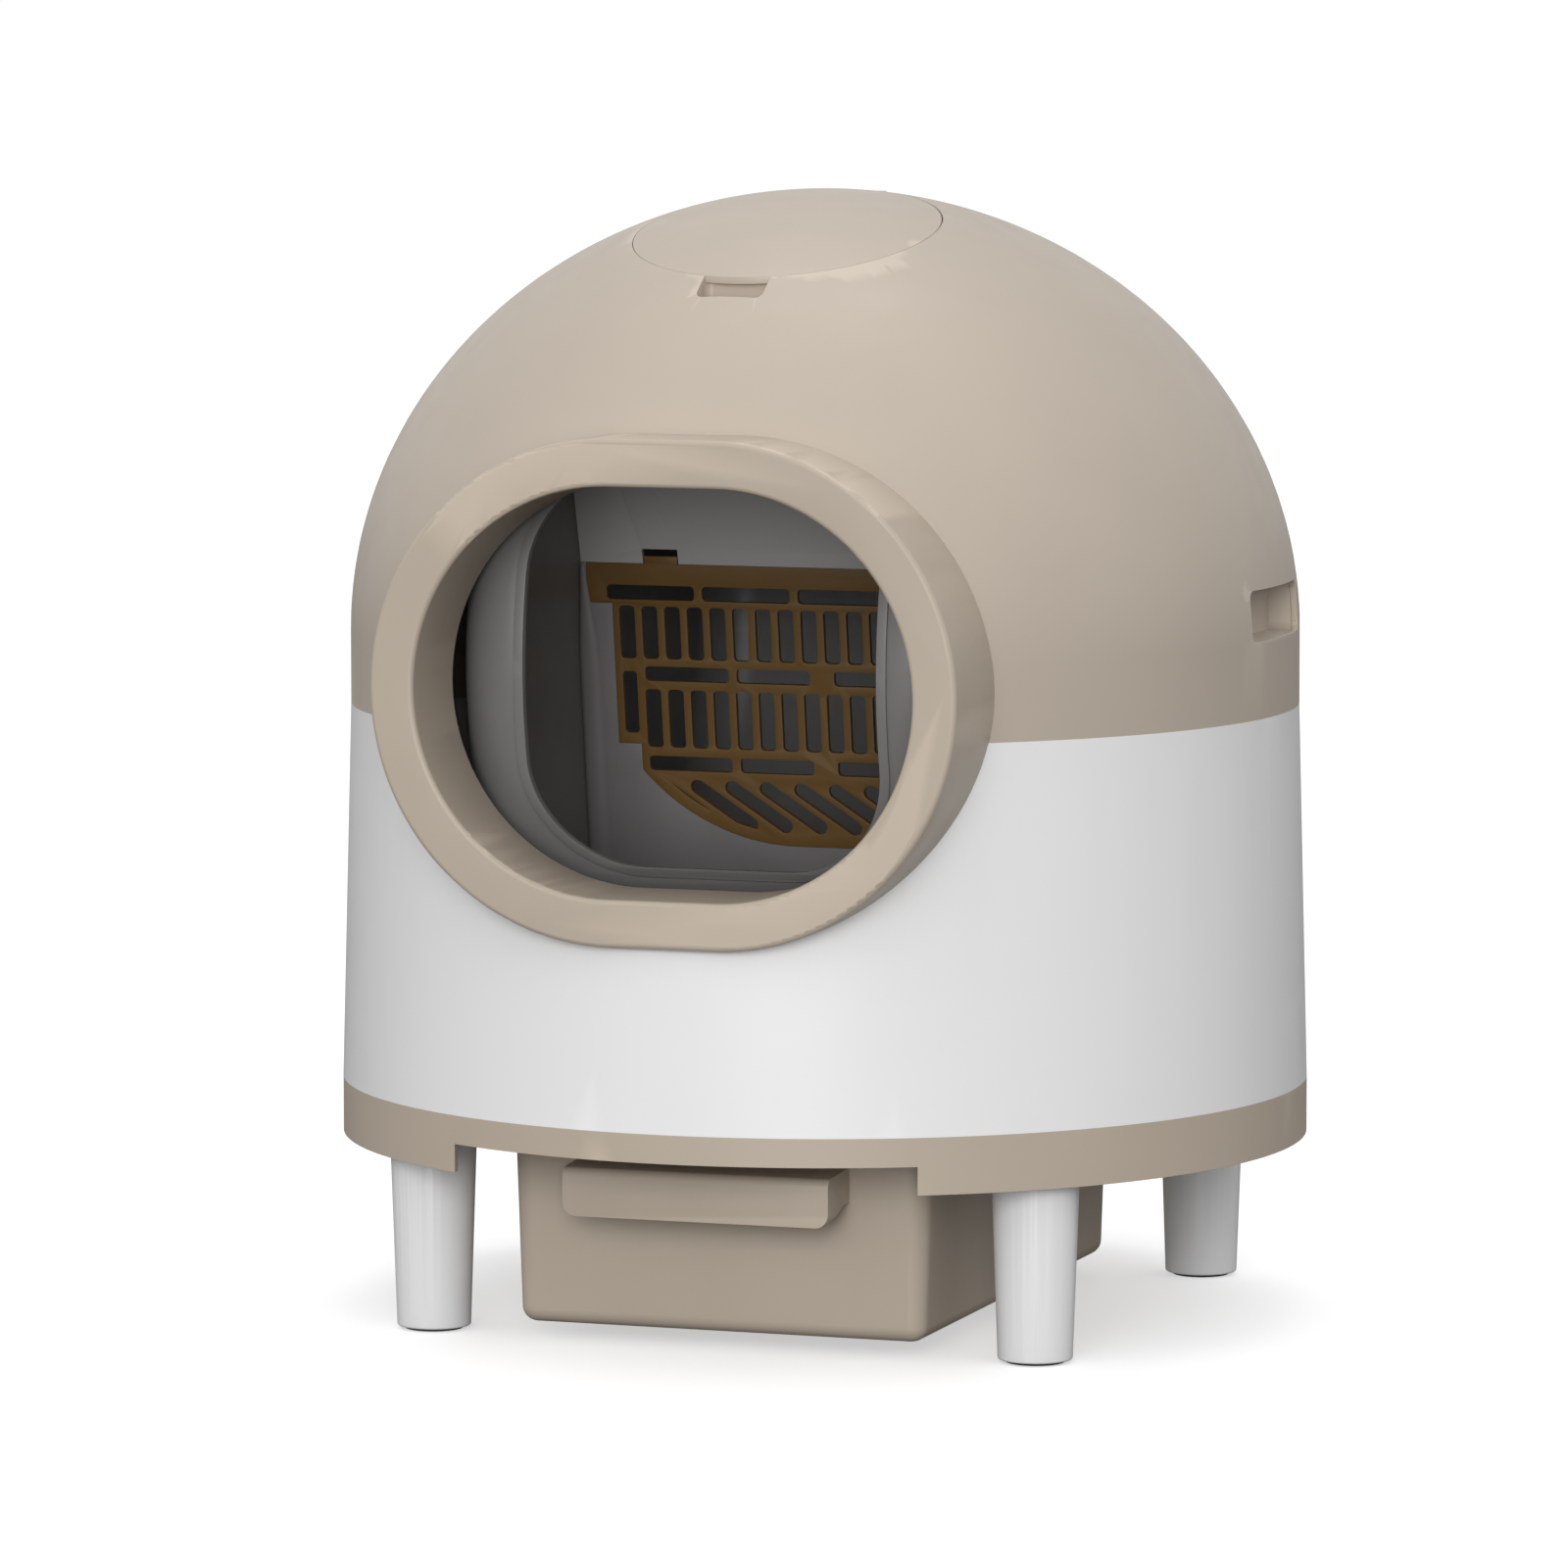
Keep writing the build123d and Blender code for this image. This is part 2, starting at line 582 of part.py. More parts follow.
with BuildPart() as drawer_handle:
    with BuildSketch(Plane.YZ):
        with BuildLine():
            Polyline(
                (handle_front_y, handle_top_z - handle_slope - handle_knee),
                (handle_front_y, lip_bottom_z),
                (handle_front_y + handle_wall, lip_bottom_z),
                (handle_front_y + 0.75 * handle_reach, handle_root_z),
                (handle_back_y, handle_root_z),
                (handle_back_y, handle_top_z),
                (handle_front_y + handle_knee, handle_top_z - handle_slope),
            )
            RadiusArc(
                (handle_front_y + handle_knee, handle_top_z - handle_slope),
                (handle_front_y, handle_top_z - handle_slope - handle_knee),
                -handle_knee,
            )
        make_face()
    extrude(amount=handle_width / 2, both=True)
    with BuildSketch(Plane.YZ):
        with BuildLine():
            Polyline(
                (handle_front_y + handle_wall, lip_bottom_z - 1),
                (handle_front_y + handle_wall, handle_top_z - handle_slope - handle_knee - handle_wall),
                (handle_front_y + 2 * handle_wall, handle_top_z - handle_slope - handle_wall),
                (handle_back_y - handle_wall, handle_top_z - handle_wall),
                (handle_back_y - handle_wall, lip_bottom_z - 1),
                close=True,
            )
        make_face()
    extrude(amount=handle_width / 2 - handle_wall, both=True, mode=Mode.SUBTRACT)
    with BuildSketch(Plane.XZ.offset(-drawer_front_y - handle_wall)):
        with Locations((0, lip_bottom_z)):
            RectangleRounded(handle_width, 2 * handle_lip, handle_corner, align=(Align.CENTER, Align.MIN))
    extrude(amount=2 * handle_reach, mode=Mode.INTERSECT)
drawer_handle.part.label = "drawer_handle"
export_step(drawer_handle.part, "parts/drawer_handle.step")

rail_inner_x = drawer_width / 2 + 1
rail_web_x = drawer_width / 2 + flange_width + 3 * moving_gap
rail_foot_top = flange_top_z - flange_height - moving_gap
for side, rail_name in ((-1, "drawer_rail_left"), (1, "drawer_rail_right")):
    with BuildPart() as drawer_rail:
        with BuildSketch(Plane.XZ.offset(-drawer_center_y)):
            with BuildLine():
                Polyline(
                    (side * rail_inner_x, rail_foot_top),
                    (side * rail_inner_x, rail_foot_top - rail_web),
                    (side * (rail_web_x + rail_web), rail_foot_top - rail_web),
                    (side * (rail_web_x + rail_web), floor_bottom_z),
                    (side * rail_web_x, floor_bottom_z),
                    (side * rail_web_x, rail_foot_top),
                    close=True,
                )
            make_face()
        extrude(amount=drawer_length / 2 - drawer_corner, both=True)
    drawer_rail.part.label = rail_name
    export_step(drawer_rail.part, f"parts/{rail_name}.step")

# ---------------------------------------------------------------- waste chute under the drum
with BuildPart() as waste_chute:
    with BuildSketch(Plane.XY.offset(floor_top_z)):
        RectangleRounded(port_width + 2 * chute_wall, port_width + 2 * chute_wall, port_corner + chute_wall)
        RectangleRounded(port_width, port_width, port_corner, mode=Mode.SUBTRACT)
    extrude(amount=chute_height)
waste_chute.part.label = "waste_chute"
export_step(waste_chute.part, "parts/waste_chute.step")

# ---------------------------------------------------------------- drum shells, parted at the sieve panel
with BuildPart() as drum_skin:
    add(drum_core(0))
    add(drum_core(drum_wall), mode=Mode.SUBTRACT)
    with BuildSketch(drum_mid.offset(drum_radius / 2)):
        RectangleRounded(mouth_width, mouth_height, mouth_corner)
    extrude(amount=drum_radius, mode=Mode.SUBTRACT)

with BuildPart() as drum_front_shell:
    add(drum_skin.part)
    split(bisect_by=panel, keep=Keep.TOP)
drum_front_shell.part.label = "drum_front_shell"
export_step(drum_front_shell.part, "parts/drum_front_shell.step")

with BuildPart() as drum_rear_shell:
    add(drum_skin.part)
    split(bisect_by=panel.offset(-fixed_gap), keep=Keep.BOTTOM)
drum_rear_shell.part.label = "drum_rear_shell"
export_step(drum_rear_shell.part, "parts/drum_rear_shell.step")

with BuildPart() as mouth_trim:
    with BuildSketch(drum_mid.offset(drum_radius / 2)):
        RectangleRounded(mouth_width, mouth_height, mouth_corner)
        offset(amount=-lip_width, mode=Mode.SUBTRACT)
    extrude(amount=drum_radius)
    add(drum_core(-lip_proud), mode=Mode.INTERSECT)
    add(drum_core(drum_wall + lip_proud), mode=Mode.SUBTRACT)
mouth_trim.part.label = "mouth_trim"
export_step(mouth_trim.part, "parts/mouth_trim.step")


# ---------------------------------------------------------------- divider, sieve and deflector
def sieve_face(inset):
    """The sieve's outline on the panel plane, `inset` inside its edge."""
    arc_y = sieve_bottom + sieve_arc_radius
    sweep = degrees(asin((sieve_half_low - sieve_flat) / sieve_arc_radius))
    arc_end_y = arc_y - sieve_arc_radius * cos(radians(sweep))
    with BuildSketch() as face:
        with BuildLine():
            Line((0, sieve_bottom), (sieve_flat, sieve_bottom))
            CenterArc((sieve_flat, arc_y), sieve_arc_radius, -90, sweep)
            Polyline(
                (sieve_half_low, arc_end_y),
                (sieve_half_low, sieve_step_low),
                (sieve_half_middle, sieve_step_low),
                (sieve_half_middle, sieve_step_high),
                (sieve_half_top, sieve_step_high),
                (sieve_half_top, sieve_top),
                (0, sieve_top),
                (0, sieve_bottom),
            )
        make_face()
        mirror(about=Plane.YZ)
        if inset:
            offset(amount=-inset, kind=Kind.INTERSECTION)
    return face.sketch


def slots(centers, width, height):
    """Rounded slots with their centres at the given points of the panel plane."""
    with Locations(*centers):
        RectangleRounded(width, height, slot_corner)


with BuildPart() as divider:
    with BuildSketch(panel):
        with Locations((0, sieve_top - fixed_gap)):
            Rectangle(3 * drum_radius, 2 * drum_radius, align=(Align.CENTER, Align.MAX))
        add(sieve_face(-fixed_gap), mode=Mode.SUBTRACT)
    extrude(amount=-panel_wall)
    add(drum_core(drum_wall + fixed_gap), mode=Mode.INTERSECT)
divider.part.label = "divider"
export_step(divider.part, "parts/divider.step")

# Slot rows, named from the top down; each height is the row's centre on the panel.
top_row_y = 23.0
upper_row_y = 1.8
middle_row_y = -20.1
outer_row_y = -35.5
lower_row_y = -43.9
bottom_row_y = -67.9
diagonal_y = -89.6
upper_slot = 28
lower_slot = 31
outer_slot = 33
top_slot = 48.1
top_end_slot = 23.4
outer_bar_slot = 46
inner_bar_slot = 40.5
bar_gap = 4.3
narrow_slot = slot_width - 0.8
diagonal_pitch = 19
diagonal_length = 42
diagonal_tilt = -34
diagonal_margin = 6
upper_half = 8.5 * slot_pitch
lower_half = 7.5 * slot_pitch
top_row_start = -92.3
top_row_end = 104.6
inner_bar_x = (inner_bar_slot + bar_gap + slot_width) / 2
outer_bar_x = inner_bar_x + (inner_bar_slot + outer_bar_slot) / 2 + bar_gap
tab_x = 85.7
tab_width = 18
tab_height = 8
with BuildSketch() as diagonal_slots:
    with GridLocations(diagonal_pitch, 1, 9, 1):
        with Locations((0, diagonal_y)):
            SlotOverall(diagonal_length, narrow_slot, rotation=diagonal_tilt)
    add(sieve_face(diagonal_margin), mode=Mode.INTERSECT)

with BuildPart() as sieve:
    with BuildSketch(panel):
        add(sieve_face(0))
    extrude(amount=-panel_wall)
    with BuildSketch(panel):
        slots([(i * slot_pitch - upper_half, upper_row_y) for i in range(18)], slot_width, upper_slot)
        slots([(i * slot_pitch - lower_half, lower_row_y) for i in range(16)], slot_width, lower_slot)
        slots([(-upper_half, outer_row_y), (upper_half, outer_row_y)], narrow_slot, outer_slot)
        slots([(top_row_start + i * (top_slot + bar_gap), top_row_y) for i in range(4)], top_slot, narrow_slot)
        slots([(top_row_end, top_row_y)], top_end_slot, narrow_slot)
        for bar_y in (middle_row_y, bottom_row_y):
            slots([(-outer_bar_x, bar_y), (outer_bar_x, bar_y)], outer_bar_slot, narrow_slot)
            slots([(-inner_bar_x, bar_y), (inner_bar_x, bar_y)], inner_bar_slot, narrow_slot)
        add(diagonal_slots.sketch)
    extrude(amount=-panel_wall, mode=Mode.SUBTRACT)
    # tabs that hold the sieve behind the deflector's lower edge
    with BuildSketch(panel):
        with Locations((-tab_x, sieve_top), (tab_x, sieve_top)):
            Rectangle(tab_width, tab_height)
    extrude(amount=-panel_wall)
sieve.part.label = "sieve"
export_step(sieve.part, "parts/sieve.step")

tip = radians(deflector_lean)
deflector_plane = Plane(
    origin=panel.from_local_coords((0, sieve_top + fixed_gap, 0)),
    x_dir=(1, 0, 0),
    z_dir=(0, -cos(tip), -sin(tip)),
)
with BuildPart() as deflector_plate:
    with BuildSketch(deflector_plane):
        Rectangle(3 * drum_radius, 2 * drum_radius, align=(Align.CENTER, Align.MIN))
        with Locations((-tab_x, 0), (tab_x, 0)):
            Rectangle(tab_width + 4 * moving_gap, 2 * tab_height, mode=Mode.SUBTRACT)
    extrude(amount=-panel_wall)
    add(drum_core(drum_wall + fixed_gap), mode=Mode.INTERSECT)
deflector_plate.part.label = "deflector_plate"
export_step(deflector_plate.part, "parts/deflector_plate.step")

# ---------------------------------------------------------------- trunnions, bushes, towers and clips
tower_head = 34               # half width and height of the tower's head about the axle
tower_shoulder = 60          # the tower is full width up to here
tower_foot_width = 30
tower_foot = 4
tower_rib_reach = 14
tower_rib_width = 6
tower_rib_height = 150
bush_outer = trunnion_radius + bush_wall
bush_collar = 3              # the bush's collar between the drum and the tower
bush_collar_wider = 4
bush_length = tower_wall + 4
clip_wall = 2
clip_wider = 3
clip_grip = 0.02
clip_x = tower_x + bush_length
shaft_end = clip_x + 3 * clip_wall
tower_screw_base = floor_top_z + tower_foot - tower_screw_length

for side, hand in ((-1, "left"), (1, "right")):
    with BuildPart() as trunnion:
        with BuildSketch(Plane.YZ.offset(side * drum_half_width)):
            with Locations((0, drum_axis_z)):
                Circle(trunnion_flange_radius)
        extrude(amount=side * trunnion_flange)
        with BuildSketch(Plane.YZ.offset(side * drum_half_width)):
            with Locations((0, drum_axis_z)):
                Circle(trunnion_radius)
        extrude(amount=side * (shaft_end - drum_half_width))
    trunnion.part.label = f"trunnion_{hand}"
    export_step(trunnion.part, f"parts/trunnion_{hand}.step")

    with BuildPart() as bearing_bush:
        with BuildSketch(Plane.YZ.offset(side * (tower_x - bush_collar))):
            with Locations((0, drum_axis_z)):
                Circle(bush_outer + bush_collar_wider)
        extrude(amount=side * (bush_collar - fixed_gap))
        with BuildSketch(Plane.YZ.offset(side * (tower_x - bush_collar))):
            with Locations((0, drum_axis_z)):
                Circle(bush_outer)
        extrude(amount=side * bush_length)
        with BuildSketch(Plane.YZ.offset(side * (tower_x - bush_collar))):
            with Locations((0, drum_axis_z)):
                Circle(trunnion_radius + running_gap)
        extrude(amount=side * bush_length, mode=Mode.SUBTRACT)
    bearing_bush.part.label = f"bearing_bush_{hand}"
    export_step(bearing_bush.part, f"parts/bearing_bush_{hand}.step")

    with BuildPart() as retaining_clip:
        with BuildSketch(Plane.YZ.offset(side * clip_x)):
            with Locations((0, drum_axis_z)):
                Circle(bush_outer + clip_wider)
                Circle(trunnion_radius + clip_grip, mode=Mode.SUBTRACT)
        extrude(amount=side * clip_wall)
    retaining_clip.part.label = f"retaining_clip_{hand}"
    export_step(retaining_clip.part, f"parts/retaining_clip_{hand}.step")

    with BuildPart() as side_tower:
        with BuildSketch(Plane.YZ.offset(side * tower_x)):
            with BuildLine():
                Polyline(
                    (-tower_half_width, floor_top_z),
                    (-tower_half_width, floor_top_z + tower_shoulder),
                    (-tower_head, drum_axis_z + tower_head),
                    (tower_head, drum_axis_z + tower_head),
                    (pinion_y + gearbox_radius, pinion_z + gearbox_radius),
                    (pinion_y + gearbox_radius, floor_top_z),
                    close=True,
                )
            make_face()
            with Locations((0, drum_axis_z)):
                Circle(bush_outer + running_gap, mode=Mode.SUBTRACT)
            if side > 0:
                with Locations((pinion_y, pinion_z)):
                    Circle(motor_radius / 2, mode=Mode.SUBTRACT)
        extrude(amount=side * tower_wall)
        with BuildSketch(Plane.XY.offset(floor_top_z)):
            with Locations((side * (tower_x + tower_foot_width / 2), 0)):
                Rectangle(tower_foot_width, 1.8 * tower_half_width)
            with Locations(*tower_screw_spots):
                Circle(screw_radius + moving_gap, mode=Mode.SUBTRACT)
        extrude(amount=tower_foot)
        with BuildSketch(Plane.XY.offset(floor_top_z)):
            with Locations((side * (tower_x + tower_wall + tower_rib_reach / 2), 0)):
                Rectangle(tower_rib_reach, tower_rib_width)
        extrude(amount=tower_rib_height)
    side_tower.part.label = f"side_tower_{hand}"
    export_step(side_tower.part, f"parts/side_tower_{hand}.step")

with BuildPart() as tower_screws:
    with Locations(*[(x, y, tower_screw_base) for x, y in tower_screw_spots]):
        add(screw(tower_screw_length))
tower_screws.part.label = "tower_screws"
export_step(tower_screws.part, "parts/tower_screws.step")

# ---------------------------------------------------------------- gears and motor
addendum = 0.75 * gear_module
dedendum = 1.1 * gear_module
tooth_relief = 0.3           # taken off each flank, for backlash
tooth_half = pi / 4 * gear_module - tooth_relief
flank = tan(radians(20))      # 20 degree pressure angle
pinion_start = drum_half_width + 1


def teeth_ring(radius, count, first_angle):
    """A toothed disc's outline about the sketch origin, one tooth centred on first_angle."""
    Circle(radius - dedendum)
    with PolarLocations(radius, count, start_angle=first_angle):
        Polygon(
            (-dedendum - 1, -tooth_half - dedendum * flank),
            (addendum, -tooth_half + addendum * flank),
            (addendum, tooth_half - addendum * flank),
            (-dedendum - 1, tooth_half + dedendum * flank),
            align=None,
        )


gear_plane = Plane(origin=(drum_half_width, 0, drum_axis_z), x_dir=(0, 1, 0), z_dir=(1, 0, 0))
with BuildPart() as drum_gear:
    with BuildSketch(gear_plane):
        teeth_ring(pitch_radius, drum_teeth, pinion_angle)
        Circle(pitch_radius - dedendum - gear_rim, mode=Mode.SUBTRACT)
    extrude(amount=gear_face)
drum_gear.part.label = "drum_gear"
export_step(drum_gear.part, "parts/drum_gear.step")

pinion_plane = Plane(origin=(pinion_start, pinion_y, pinion_z), x_dir=(0, 1, 0), z_dir=(1, 0, 0))
pinion_shaft_radius = 4
pinion_shaft_length = tower_gap + tower_wall + gearbox_length / 2
shaft_bore = gearbox_length / 2 + 2
with BuildPart() as pinion:
    with BuildSketch(pinion_plane):
        teeth_ring(pinion_pitch_radius, pinion_teeth, pinion_angle + 180 + 180 / pinion_teeth)
    extrude(amount=gear_face)
    with BuildSketch(pinion_plane):
        Circle(pinion_shaft_radius)
    extrude(amount=pinion_shaft_length)
pinion.part.label = "pinion"
export_step(pinion.part, "parts/pinion.step")

motor_plane = Plane(
    origin=(tower_x + tower_wall + fixed_gap, pinion_y, pinion_z), x_dir=(0, 1, 0), z_dir=(1, 0, 0)
)
with BuildPart() as gearmotor:
    with BuildSketch(motor_plane):
        Circle(gearbox_radius)
    extrude(amount=gearbox_length)
    with BuildSketch(motor_plane.offset(gearbox_length)):
        Circle(motor_radius)
    extrude(amount=motor_length)
    fillet(gearmotor.edges().group_by(Axis.X)[-1], motor_round)
    with BuildSketch(motor_plane):
        Circle(pinion_shaft_radius + running_gap)
    extrude(amount=shaft_bore, mode=Mode.SUBTRACT)
gearmotor.part.label = "gearmotor"
export_step(gearmotor.part, "parts/gearmotor.step")

# ---------------------------------------------------------------- rear controls
with BuildPart() as control_housing:
    with BuildSketch(Plane.XY.offset(floor_top_z)):
        with Locations((0, control_y)):
            RectangleRounded(control_width, control_depth, control_corner)
    extrude(amount=control_height)
    with BuildSketch(Plane.XZ.offset(-control_back_y)):
        with Locations((0, control_z)):
            Circle(inlet_radius + fixed_gap)
        with Locations((button_x, control_z)):
            Circle(button_radius + moving_gap)
    extrude(amount=socket_depth, mode=Mode.SUBTRACT)
control_housing.part.label = "control_housing"
export_step(control_housing.part, "parts/control_housing.step")

with BuildPart() as power_inlet:
    with BuildSketch(Plane.XZ.offset(-control_back_y + socket_depth)):
        with Locations((0, control_z)):
            Circle(inlet_radius)
    extrude(amount=-(collar_front - control_back_y + socket_depth))
    with BuildSketch(Plane.XZ.offset(-collar_front)):
        with Locations((0, control_z)):
            Circle(0.5 * inlet_radius)
            Circle(0.15 * inlet_radius, mode=Mode.SUBTRACT)
    extrude(amount=2 * inlet_radius, mode=Mode.SUBTRACT)
power_inlet.part.label = "power_inlet"
export_step(power_inlet.part, "parts/power_inlet.step")

button_depth = socket_depth - button_travel - moving_gap
with BuildPart() as power_button:
    with BuildSketch(Plane.XZ.offset(-control_back_y + button_depth)):
        with Locations((button_x, control_z)):
            Circle(button_radius)
    extrude(amount=-(base_radius + button_proud - control_back_y + button_depth))
    fillet(power_button.edges().group_by(Axis.Y)[-1], button_proud)
power_button.part.label = "power_button"
export_step(power_button.part, "parts/power_button.step")
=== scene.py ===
# %% [markdown]
# # A self-cleaning cat litter box
# This notebook dresses a finished mechanical model. The design tool has already settled every size, so the
# model is loaded once as a fixed frame, and each cell below makes one piece or one finish. All lengths are in
# metres, in the model's own frame: +Z up, the entrance towards -Y, the floor at zero.

# %% Load the frame
import json
from math import cos, pi, radians, sin, sqrt

import bmesh
import bpy
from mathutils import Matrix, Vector


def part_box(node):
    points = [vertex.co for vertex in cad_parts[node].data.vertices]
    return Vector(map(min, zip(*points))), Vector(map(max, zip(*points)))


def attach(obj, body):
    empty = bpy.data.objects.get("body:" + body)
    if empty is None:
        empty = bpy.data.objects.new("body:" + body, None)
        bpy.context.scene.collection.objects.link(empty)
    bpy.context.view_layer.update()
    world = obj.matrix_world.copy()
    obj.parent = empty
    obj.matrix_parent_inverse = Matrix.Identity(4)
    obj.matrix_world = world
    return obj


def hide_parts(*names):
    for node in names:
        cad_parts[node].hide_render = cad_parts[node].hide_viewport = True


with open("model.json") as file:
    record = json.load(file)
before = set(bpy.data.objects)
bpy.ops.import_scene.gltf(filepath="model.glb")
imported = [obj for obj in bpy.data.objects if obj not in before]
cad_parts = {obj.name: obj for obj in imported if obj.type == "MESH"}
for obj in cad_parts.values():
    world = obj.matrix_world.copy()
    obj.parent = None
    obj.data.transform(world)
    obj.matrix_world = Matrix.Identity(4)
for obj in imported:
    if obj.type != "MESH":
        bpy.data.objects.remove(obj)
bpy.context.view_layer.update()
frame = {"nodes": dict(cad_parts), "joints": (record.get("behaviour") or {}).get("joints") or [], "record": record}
MM = 0.001

# %% [markdown]
# ## The camera
# A product picture is taken from far away with a long lens, so that the round body keeps its true
# proportions. A 200 mm lens four and a half metres away does that. The camera is aimed by two angles, how far
# it is turned and how far it looks down, which is easier to adjust than a target point.

# %% Camera
camera_data = bpy.data.cameras.new("studio_camera")
camera_data.lens = 200.45
camera_data.sensor_width = 36
camera_data.clip_end = 60
camera = bpy.data.objects.new("studio_camera", camera_data)
bpy.context.scene.collection.objects.link(camera)
camera.location = (1.4428, -4.2610, 0.7316)
camera_turn = radians(18.978)
camera_dip = radians(5.858)
camera.rotation_euler = (pi / 2 - camera_dip, 0, camera_turn)
bpy.context.scene.camera = camera
print("camera at", tuple(camera.location))

# %% [markdown]
# ## Floor, backdrop and light
# The box stands in a white studio. One sheet that runs along the floor and curves up behind gives a
# background with no horizon. Most of the light comes from the white surroundings, and a large softbox high
# up draws the broad highlight on the dome that tells the eye the plastic is satin. The sheet throws no light
# back, and the surroundings are dim below the horizon, so that the underside falls into shade.

# %% Sweep
SWEEP_HALF = 14
SWEEP_BEND = 3
SWEEP_WALL = 9
SWEEP_STEPS = 12


def studio_sweep():
    """A floor that bends up into a wall behind the object."""
    profile = [(-SWEEP_HALF, 0.0), (SWEEP_HALF - SWEEP_BEND, 0.0)]
    for step in range(1, SWEEP_STEPS + 1):
        angle = step / SWEEP_STEPS * pi / 2
        profile.append((SWEEP_HALF - SWEEP_BEND + SWEEP_BEND * sin(angle), SWEEP_BEND * (1 - cos(angle))))
    profile.append((SWEEP_HALF, SWEEP_WALL))
    verts = [(side * SWEEP_HALF, y, z) for side in (-1, 1) for y, z in profile]
    count = len(profile)
    faces = [(i, i + 1, count + i + 1, count + i) for i in range(count - 1)]
    mesh = bpy.data.meshes.new("studio_sweep")
    mesh.from_pydata(verts, [], faces)
    mesh.shade_smooth()
    sweep = bpy.data.objects.new("studio_sweep", mesh)
    bpy.context.scene.collection.objects.link(sweep)
    sweep.visible_diffuse = False
    sweep.visible_glossy = False
    return sweep


sweep = studio_sweep()
print("sweep", len(sweep.data.polygons), "faces")

# %% [markdown]
# ## Three softboxes
# One hangs high up behind the dome and draws its highlight. A wide one far in front lights the shell evenly
# from top to bottom. A small one nearer by shines into the entrance, where the collar keeps the others out.


# %% Softboxes
def softbox(name, place, aim, size, watts):
    """A square area light at place, turned to aim."""
    data = bpy.data.lights.new(name, "AREA")
    data.shape = "SQUARE"
    data.size = size
    data.energy = watts
    light = bpy.data.objects.new(name, data)
    bpy.context.scene.collection.objects.link(light)
    light.location = place
    light.rotation_euler = (Vector(aim) - Vector(place)).to_track_quat("-Z", "Y").to_euler()
    return light


body_middle = (0, 0, 0.32)
softbox("highlight_box", (-0.2, 0.8, 3.7), body_middle, 1.7, 13)
softbox("front_box", (0.9, -4.7, 1.2), body_middle, 2.4, 92)
softbox("entrance_box", (0.9, -3.4, 0.9), (0, 0, 0.34), 0.9, 9)

# %% [markdown]
# ## Surroundings
# The world is white above the horizon and dim below it. The shader reads the height of each direction and
# turns it into brightness, with a soft step at the horizon.

# %% World
world = bpy.data.worlds.new("white_surroundings")
bpy.context.scene.world = world
world.use_nodes = True
surroundings = world.node_tree.nodes["Background"]
surroundings.inputs["Strength"].default_value = 0.80
direction = world.node_tree.nodes.new("ShaderNodeTexCoord")
height = world.node_tree.nodes.new("ShaderNodeSeparateXYZ")
horizon = world.node_tree.nodes.new("ShaderNodeMapRange")
for socket, number in (("From Min", -0.15), ("From Max", 0.10), ("To Min", 0.10), ("To Max", 1.0)):
    horizon.inputs[socket].default_value = number
world.node_tree.links.new(direction.outputs["Generated"], height.inputs["Vector"])
world.node_tree.links.new(height.outputs["Z"], horizon.inputs["Value"])
world.node_tree.links.new(horizon.outputs["Result"], surroundings.inputs["Color"])
bpy.context.scene.view_settings.view_transform = "Standard"
print("surroundings", world.name)

# %% [markdown]
# ## Moulded plastic
# Every visible part is injection moulded, and its finish is the print of the steel mould: a fine spark-eroded
# grain and a roughness that drifts a little over a wide face. On top of that, convex edges get a lighter colour,
# a painted highlight for the light that their small rounds catch. A flat colour would look like paper. Here two
# noise textures do the work, one fine for the grain, which only tips the normal, and one wide for the drift.
# Both read object coordinates, which are the model's own metres, so the grain has the same size on each part.


# %% Plastic recipe
NOISE_LOW, NOISE_HIGH = 0.3, 0.7    # a noise texture rarely leaves this range


def link(tree, source, target):
    tree.links.new(source, target)


def noise(tree, coordinates, size, detail):
    """A noise texture whose features are about size metres wide."""
    node = tree.nodes.new("ShaderNodeTexNoise")
    node.inputs["Scale"].default_value = 1 / size
    node.inputs["Detail"].default_value = detail
    link(tree, coordinates.outputs["Object"], node.inputs["Vector"])
    return node


def remap(tree, value, low, high, low_to, high_to):
    """Stretch a value from one range to another, clamped at both ends."""
    node = tree.nodes.new("ShaderNodeMapRange")
    for socket, number in (("From Min", low), ("From Max", high), ("To Min", low_to), ("To Max", high_to)):
        node.inputs[socket].default_value = number
    link(tree, value, node.inputs["Value"])
    return node.outputs["Result"]


def tinted(tree, factor, first, second):
    """A colour that runs from first to second with factor."""
    node = tree.nodes.new("ShaderNodeMix")
    node.data_type = "RGBA"
    node.inputs["A"].default_value = (*first, 1)
    node.inputs["B"].default_value = (*second, 1)
    link(tree, factor, node.inputs["Factor"])
    return node.outputs["Result"]


def scaled(colour, factor):
    return tuple(min(1.0, channel * factor) for channel in colour)


